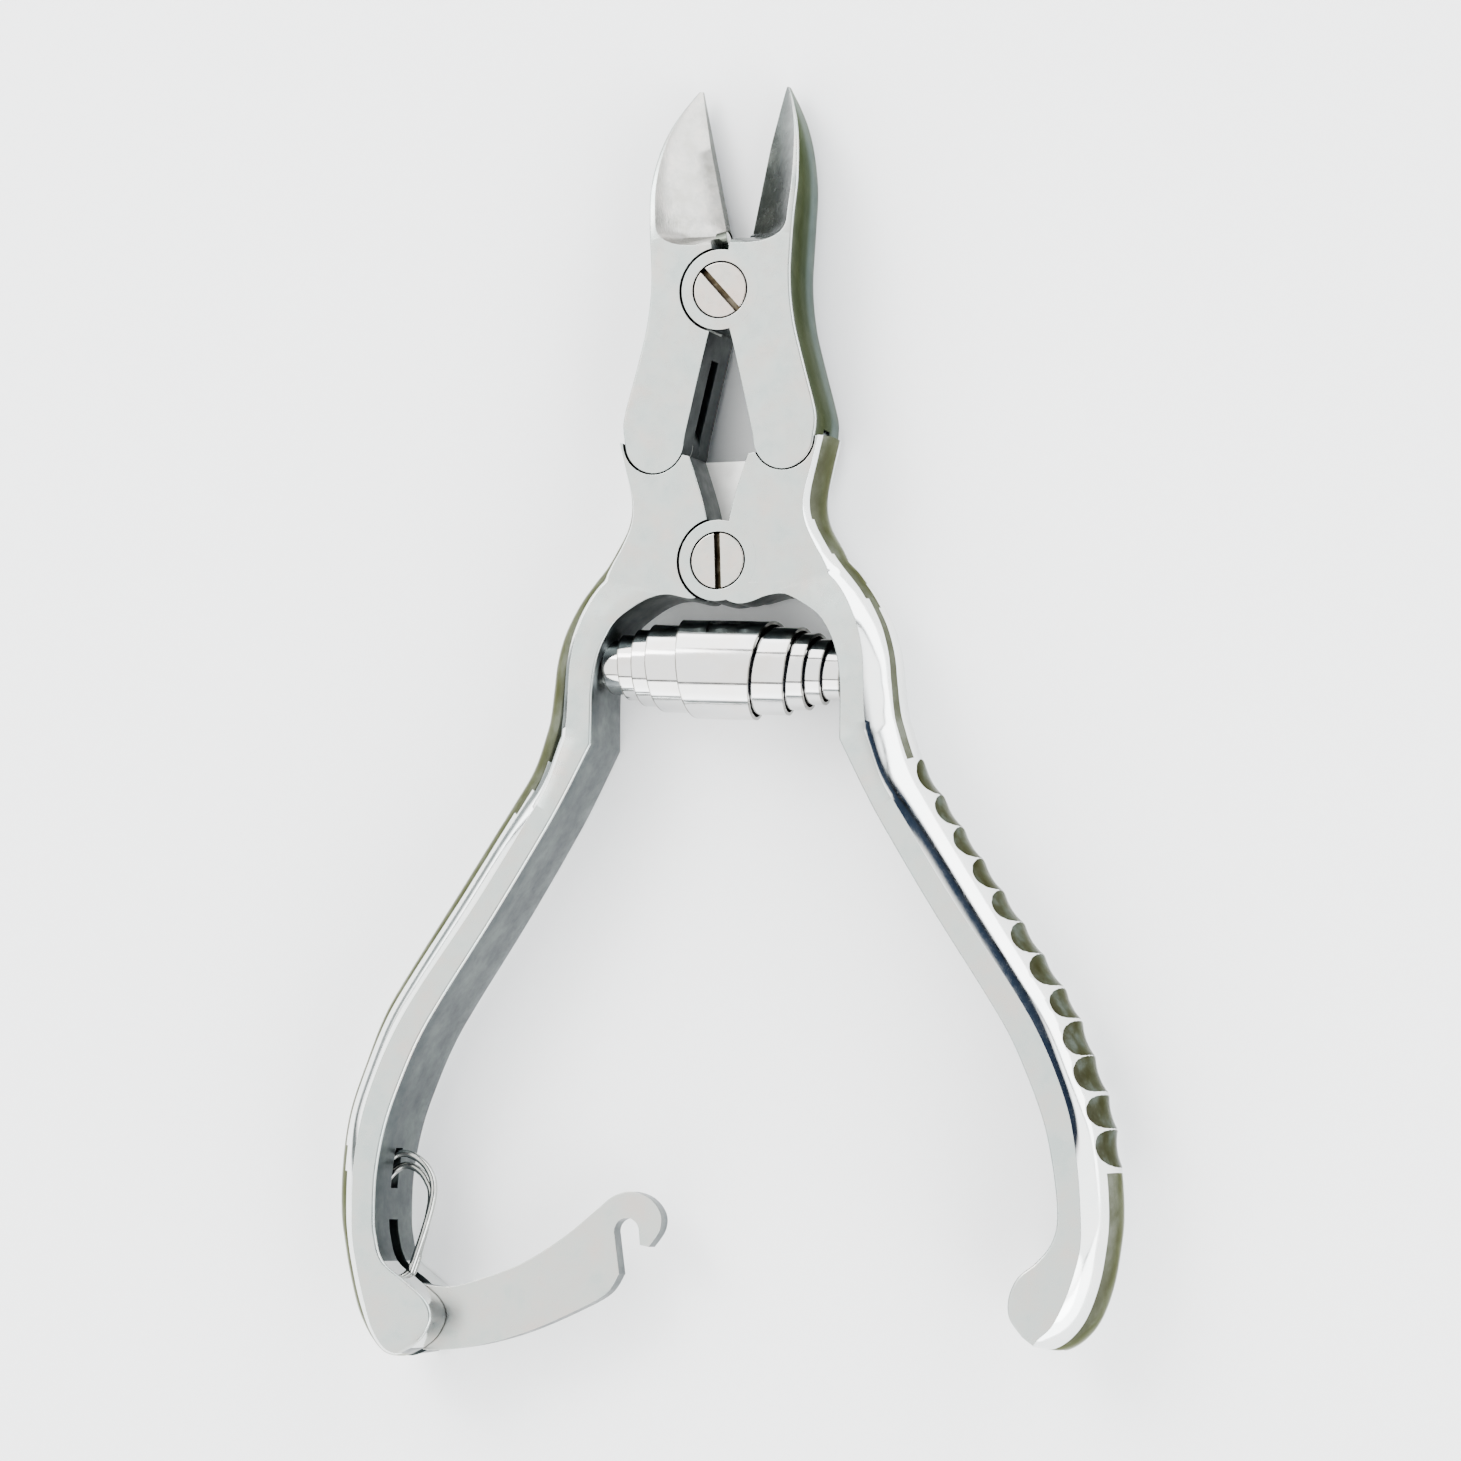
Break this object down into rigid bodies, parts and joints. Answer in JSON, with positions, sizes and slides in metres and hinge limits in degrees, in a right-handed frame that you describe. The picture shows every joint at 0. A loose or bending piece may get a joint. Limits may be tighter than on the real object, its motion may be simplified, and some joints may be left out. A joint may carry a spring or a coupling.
{
  "type": "double-action nail nipper",
  "caption": "Compound-action nipper with pointed hollow-ground jaws, lap-jointed handles, barrel spring and hook latch, shown open.",
  "frame": {"origin": "on the handle pivot's axis, at the flat back face of the box; the backs of the grips lie 1.5 mm lower", "axes": "+X across the tool to the right as seen from the front, +Y along the middle line to the jaw tips, +Z out of the front face"},
  "size_m": [0.088, 0.1384, 0.011],
  "materials": {
    "satin_steel": "satin stainless, buffed edges",
    "screw_steel": "fine turned stainless, slightly warm",
    "pin_steel": "ground stainless",
    "spring_strip": "bright rolled strip",
    "spring_wire": "drawn wire",
    "latch_plate": "satin stainless plate"
  },
  "bodies": {
    "left_handle": {"left_handle": "satin_steel", "handle_pivot_screw": "screw_steel", "left_spring_stud": "pin_steel", "latch_pin": "pin_steel", "latch_spring": "spring_wire", "barrel_spring": "spring_strip"},
    "right_handle": {"right_handle": "satin_steel", "right_spring_stud": "pin_steel", "catch_pin": "pin_steel"},
    "left_jaw": {"left_jaw": "satin_steel", "jaw_pivot_screw": "screw_steel", "left_knuckle_pin": "pin_steel"},
    "right_jaw": {"right_jaw": "satin_steel", "right_knuckle_pin": "pin_steel"},
    "latch_hook": {"latch_hook": "latch_plate"}
  },
  "joints": [
    {"name": "handle_joint", "type": "hinge", "parent": "left_handle", "child": "right_handle", "pos_m": [0, 0, 0.004], "axis": [0, 0, -1], "range_deg": [0, 30.14], "stiffness_Nm_per_rad": 0.2, "springref_deg": -5.73, "deforming": ["barrel_spring"]},
    {"name": "left_knuckle", "type": "hinge", "parent": "left_handle", "child": "left_jaw", "pos_m": [-0.0074, 0.0131, 0.004], "axis": [0, 0, -1], "range_deg": [0, 26.78]},
    {"name": "right_knuckle", "type": "hinge", "parent": "right_handle", "child": "right_jaw", "pos_m": [0.0074, 0.0131, 0.004], "axis": [0, 0, 1], "range_deg": [0, 26.78]},
    {"name": "latch_joint", "type": "hinge", "parent": "left_handle", "child": "latch_hook", "pos_m": [-0.035, -0.0811, 0.004], "axis": [0, 0, -1], "range_deg": [0, 33.3]}
  ],
  "couplings": [
    {"joint": "left_knuckle", "follows": "handle_joint", "ratio": 0.88816},
    {"joint": "right_knuckle", "follows": "handle_joint", "ratio": 0.88816}
  ]
}
